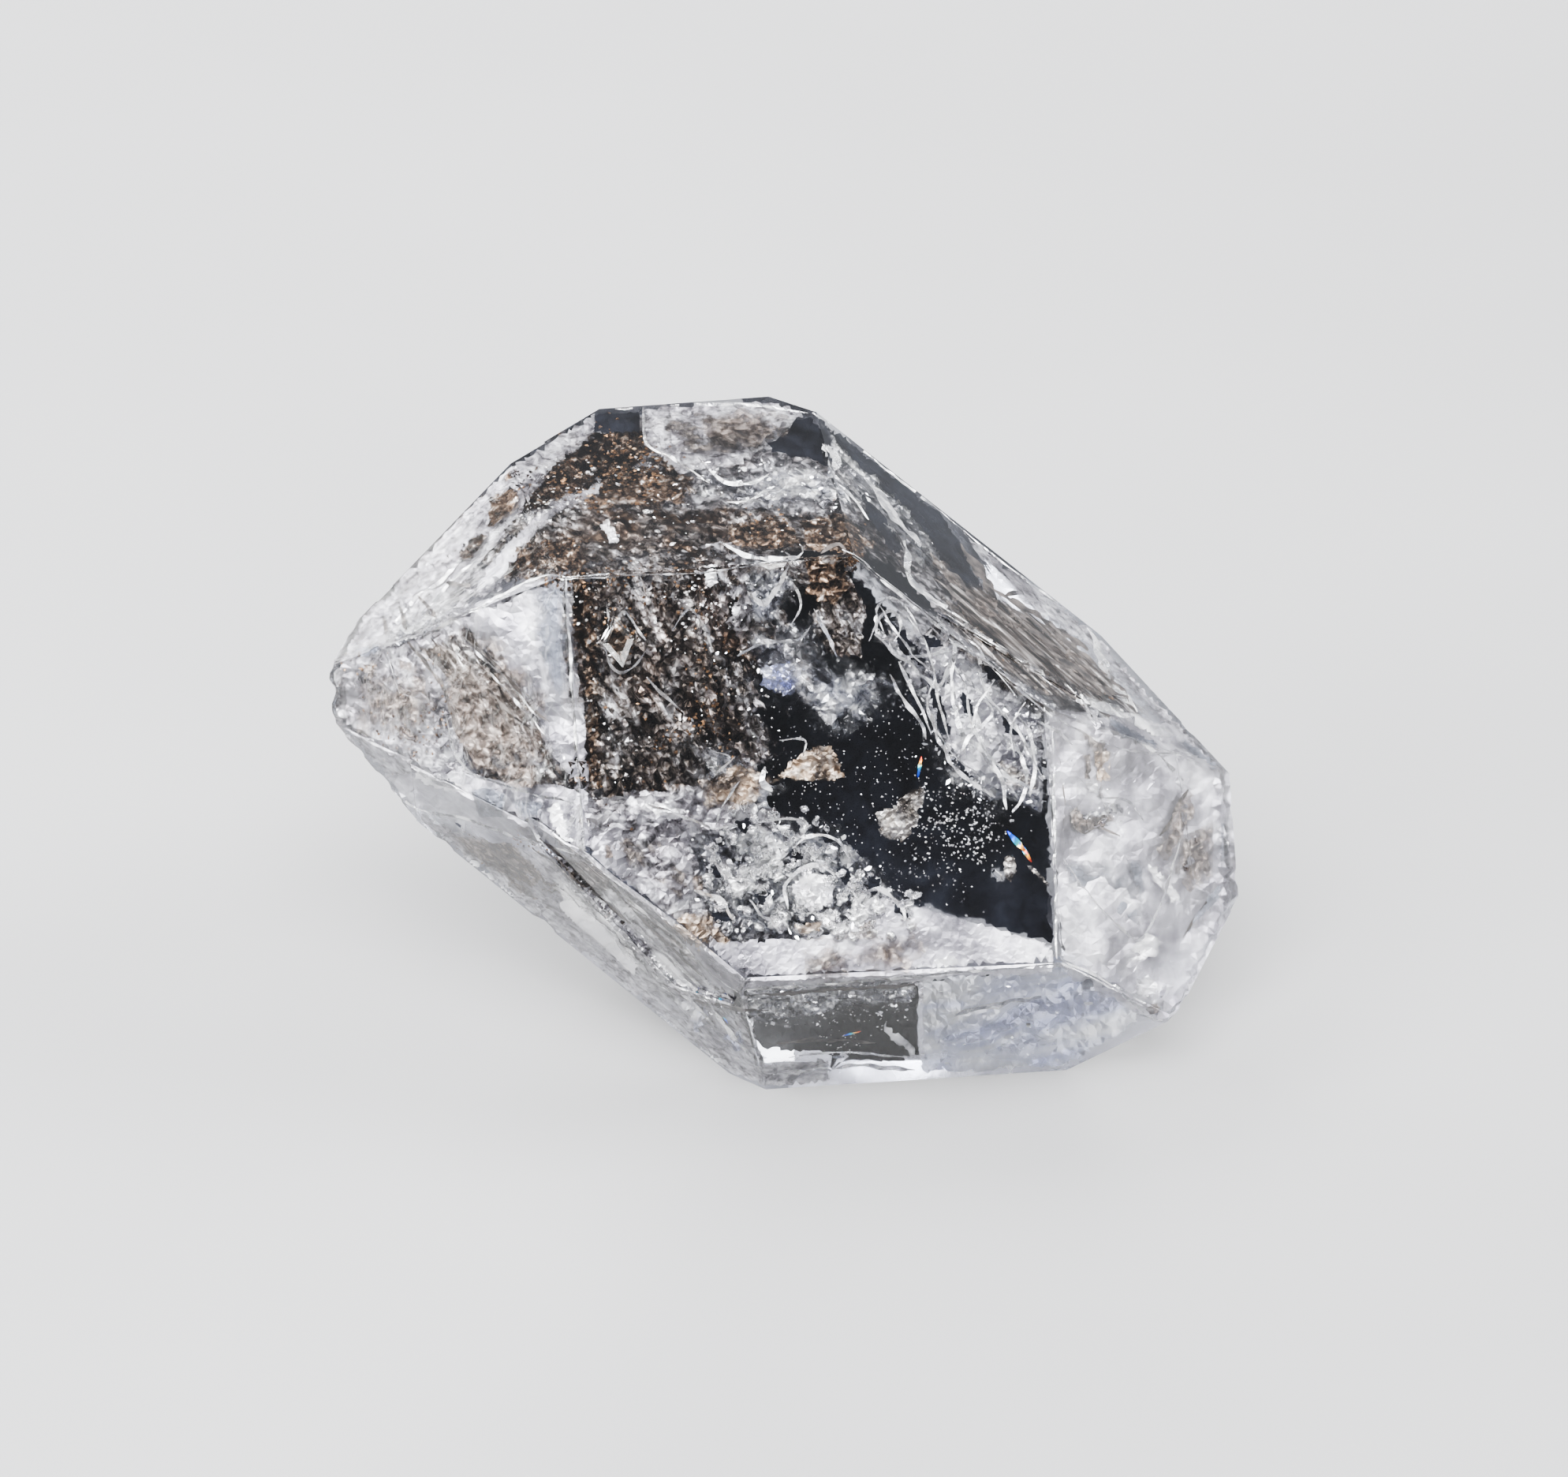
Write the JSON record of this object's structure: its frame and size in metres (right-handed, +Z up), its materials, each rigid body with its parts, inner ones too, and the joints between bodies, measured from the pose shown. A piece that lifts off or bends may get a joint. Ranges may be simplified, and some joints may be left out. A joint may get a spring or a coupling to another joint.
{
  "type": "quartz crystal",
  "caption": "Squat clear quartz crystal pointed at both ends, with flat natural faces and small growth steps and pits, resting on one long side face.",
  "frame": {"origin": "middle of the crystal's box in X and Y, at the height of the face it rests on", "axes": "+X along the crystal's long axis towards the blunter end, +Z up, the large front face looks towards -Y and up"},
  "size_m": [0.0232, 0.0172, 0.0142],
  "materials": {
    "crystal": "clear natural crystal faces with brown and white inclusions inside"
  },
  "bodies": {
    "root": {"crystal": "crystal"}
  },
  "joints": []
}
